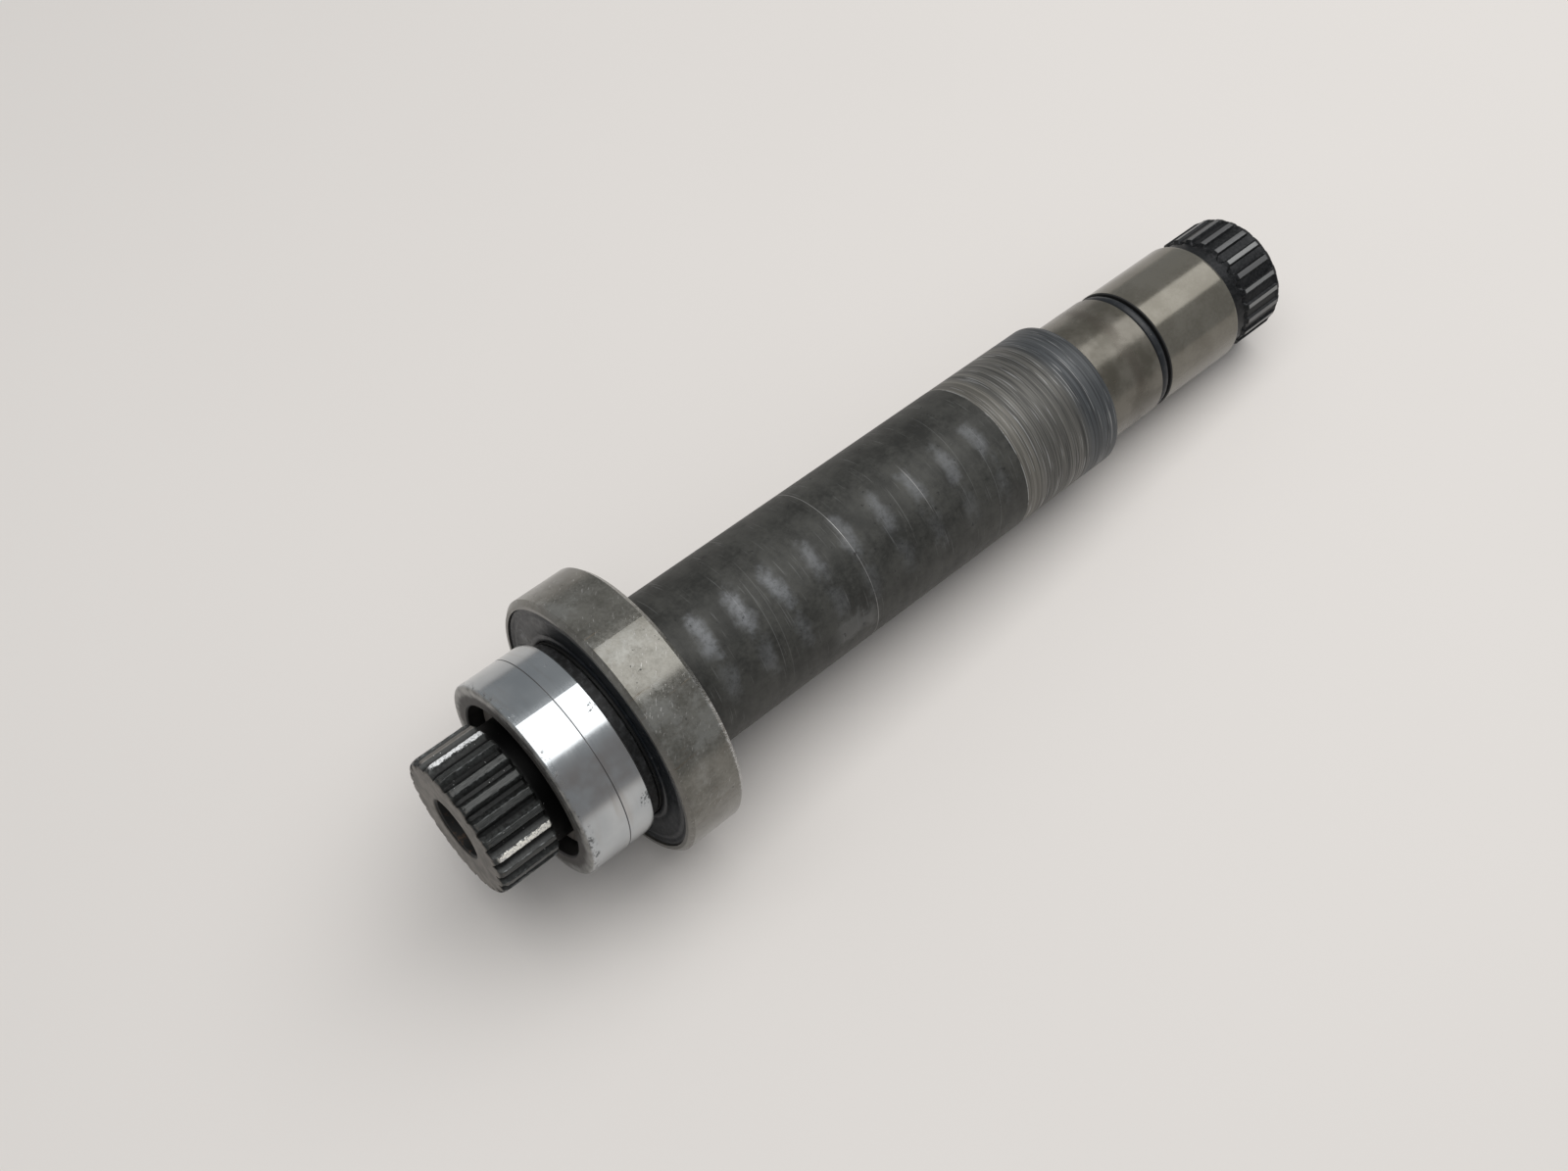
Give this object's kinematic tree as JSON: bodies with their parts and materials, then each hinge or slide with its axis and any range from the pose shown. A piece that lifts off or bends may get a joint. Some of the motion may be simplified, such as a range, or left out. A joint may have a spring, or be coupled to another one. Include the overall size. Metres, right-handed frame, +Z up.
{
  "type": "splined output shaft with bearing",
  "caption": "Stepped steel shaft with an involute spline at each end, a sealed ball bearing and a polished seal collar near its front end.",
  "frame": {"origin": "centre of the ball bearing, on the shaft's axis", "axes": "+X along the shaft from the collar end towards the journal end, +Z up with the shaft lying level"},
  "size_m": [0.2388, 0.062, 0.062],
  "materials": {
    "shaft_steel": "turned and used, dull with oil stains",
    "collar_steel": "polished seal land",
    "bearing_steel": "ground, stained",
    "ball_steel": "polished",
    "pressed_steel": "pressed sheet",
    "spring_steel": "dark spring wire",
    "rubber": "nitrile, matt"
  },
  "bodies": {
    "housing_side": {"bearing_outer_ring": "bearing_steel", "front_seal_rubber": "rubber", "front_seal_insert": "pressed_steel", "rear_seal_rubber": "rubber", "rear_seal_insert": "pressed_steel"},
    "shaft_group": {"shaft": "shaft_steel", "seal_collar": "collar_steel", "collar_retaining_ring": "spring_steel", "collar_o_ring": "rubber", "journal_o_ring": "rubber", "bearing_inner_ring": "bearing_steel"},
    "cage": {"cage_front_half": "pressed_steel", "cage_rear_half": "pressed_steel", "cage_rivets": "pressed_steel"},
    "ball_01": {"ball_01": "ball_steel"},
    "ball_02": {"ball_02": "ball_steel"},
    "ball_03": {"ball_03": "ball_steel"},
    "ball_04": {"ball_04": "ball_steel"},
    "ball_05": {"ball_05": "ball_steel"},
    "ball_06": {"ball_06": "ball_steel"},
    "ball_07": {"ball_07": "ball_steel"},
    "ball_08": {"ball_08": "ball_steel"},
    "ball_09": {"ball_09": "ball_steel"},
    "ball_10": {"ball_10": "ball_steel"},
    "ball_11": {"ball_11": "ball_steel"}
  },
  "joints": [
    {"name": "shaft_spin", "type": "hinge", "parent": "housing_side", "child": "shaft_group", "pos_m": [0, 0, 0], "axis": [1, 0, 0], "continuous": true},
    {"name": "cage_spin", "type": "hinge", "parent": "housing_side", "child": "cage", "pos_m": [0, 0, 0], "axis": [1, 0, 0], "continuous": true},
    {"name": "ball_01_spin", "type": "hinge", "parent": "cage", "child": "ball_01", "pos_m": [0, 0, 0.02425], "axis": [1, 0, 0], "continuous": true},
    {"name": "ball_02_spin", "type": "hinge", "parent": "cage", "child": "ball_02", "pos_m": [0, -0.01311, 0.0204], "axis": [1, 0, 0], "continuous": true},
    {"name": "ball_03_spin", "type": "hinge", "parent": "cage", "child": "ball_03", "pos_m": [0, -0.02206, 0.01007], "axis": [1, 0, 0], "continuous": true},
    {"name": "ball_04_spin", "type": "hinge", "parent": "cage", "child": "ball_04", "pos_m": [0, -0.024, -0.00345], "axis": [1, 0, 0], "continuous": true},
    {"name": "ball_05_spin", "type": "hinge", "parent": "cage", "child": "ball_05", "pos_m": [0, -0.01833, -0.01588], "axis": [1, 0, 0], "continuous": true},
    {"name": "ball_06_spin", "type": "hinge", "parent": "cage", "child": "ball_06", "pos_m": [0, -0.00683, -0.02327], "axis": [1, 0, 0], "continuous": true},
    {"name": "ball_07_spin", "type": "hinge", "parent": "cage", "child": "ball_07", "pos_m": [0, 0.00683, -0.02327], "axis": [1, 0, 0], "continuous": true},
    {"name": "ball_08_spin", "type": "hinge", "parent": "cage", "child": "ball_08", "pos_m": [0, 0.01833, -0.01588], "axis": [1, 0, 0], "continuous": true},
    {"name": "ball_09_spin", "type": "hinge", "parent": "cage", "child": "ball_09", "pos_m": [0, 0.024, -0.00345], "axis": [1, 0, 0], "continuous": true},
    {"name": "ball_10_spin", "type": "hinge", "parent": "cage", "child": "ball_10", "pos_m": [0, 0.02206, 0.01007], "axis": [1, 0, 0], "continuous": true},
    {"name": "ball_11_spin", "type": "hinge", "parent": "cage", "child": "ball_11", "pos_m": [0, 0.01311, 0.0204], "axis": [1, 0, 0], "continuous": true}
  ],
  "couplings": [
    {"joint": "cage_spin", "follows": "shaft_spin", "ratio": 0.41817},
    {"joint": "ball_01_spin", "follows": "shaft_spin", "ratio": -2.9731},
    {"joint": "ball_02_spin", "follows": "shaft_spin", "ratio": -2.9731},
    {"joint": "ball_03_spin", "follows": "shaft_spin", "ratio": -2.9731},
    {"joint": "ball_04_spin", "follows": "shaft_spin", "ratio": -2.9731},
    {"joint": "ball_05_spin", "follows": "shaft_spin", "ratio": -2.9731},
    {"joint": "ball_06_spin", "follows": "shaft_spin", "ratio": -2.9731},
    {"joint": "ball_07_spin", "follows": "shaft_spin", "ratio": -2.9731},
    {"joint": "ball_08_spin", "follows": "shaft_spin", "ratio": -2.9731},
    {"joint": "ball_09_spin", "follows": "shaft_spin", "ratio": -2.9731},
    {"joint": "ball_10_spin", "follows": "shaft_spin", "ratio": -2.9731},
    {"joint": "ball_11_spin", "follows": "shaft_spin", "ratio": -2.9731}
  ]
}
